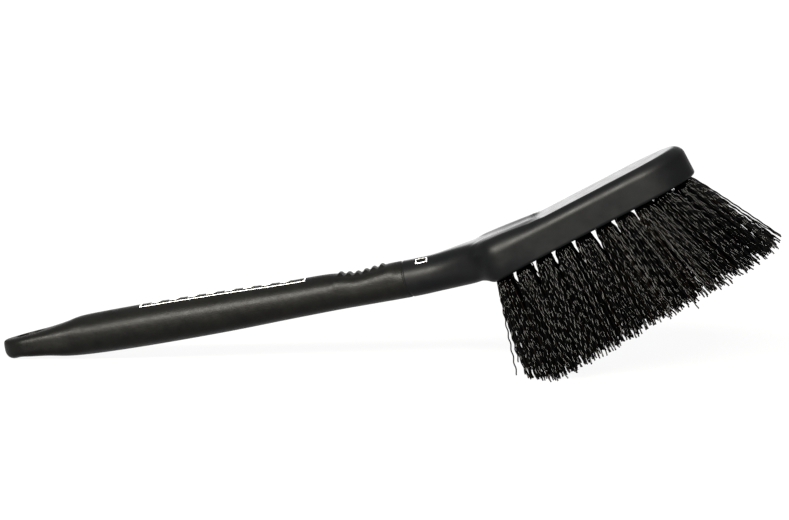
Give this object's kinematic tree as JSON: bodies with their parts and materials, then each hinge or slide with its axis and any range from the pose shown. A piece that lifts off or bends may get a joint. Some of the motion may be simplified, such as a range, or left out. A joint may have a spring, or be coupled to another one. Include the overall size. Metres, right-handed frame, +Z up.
{
  "type": "wheel brush",
  "caption": "Long-handled wheel brush: flat oblong head with crimped bristle tufts, bent neck, and a soft grip with ribbed thumb rest and hang hole.",
  "frame": {"origin": "middle of the brush's length, on the table that it rests on with its tail and the heel end of its bristles", "axes": "+X along the brush from tail to head, +Y across the head, +Z up from the table"},
  "size_m": [0.4337, 0.0762, 0.1276],
  "materials": {
    "body_plastic": "satin",
    "grip_rubber": "matte",
    "staple_wire": "satin",
    "bristle": "satin"
  },
  "bodies": {
    "root": {"body_core": "body_plastic", "grip": "grip_rubber", "tuft_staples": "staple_wire", "tuft_1_1": "bristle", "tuft_1_2": "bristle", "tuft_1_3": "bristle", "tuft_1_4": "bristle", "tuft_1_5": "bristle", "tuft_1_6": "bristle", "tuft_1_7": "bristle", "tuft_1_8": "bristle", "tuft_1_9": "bristle", "tuft_2_1": "bristle", "tuft_2_2": "bristle", "tuft_2_3": "bristle", "tuft_2_4": "bristle", "tuft_2_5": "bristle", "tuft_2_6": "bristle", "tuft_2_7": "bristle", "tuft_2_8": "bristle", "tuft_2_9": "bristle", "tuft_2_10": "bristle", "tuft_3_1": "bristle", "tuft_3_2": "bristle", "tuft_3_3": "bristle", "tuft_3_4": "bristle", "tuft_3_5": "bristle", "tuft_3_6": "bristle", "tuft_3_7": "bristle", "tuft_3_8": "bristle", "tuft_3_9": "bristle", "tuft_3_10": "bristle", "tuft_4_1": "bristle", "tuft_4_2": "bristle", "tuft_4_3": "bristle", "tuft_4_4": "bristle", "tuft_4_5": "bristle", "tuft_4_6": "bristle", "tuft_4_7": "bristle", "tuft_4_8": "bristle", "tuft_4_9": "bristle", "tuft_4_10": "bristle", "tuft_5_1": "bristle", "tuft_5_2": "bristle", "tuft_5_3": "bristle", "tuft_5_4": "bristle", "tuft_5_5": "bristle", "tuft_5_6": "bristle", "tuft_5_7": "bristle", "tuft_5_8": "bristle", "tuft_5_9": "bristle"}
  },
  "joints": []
}
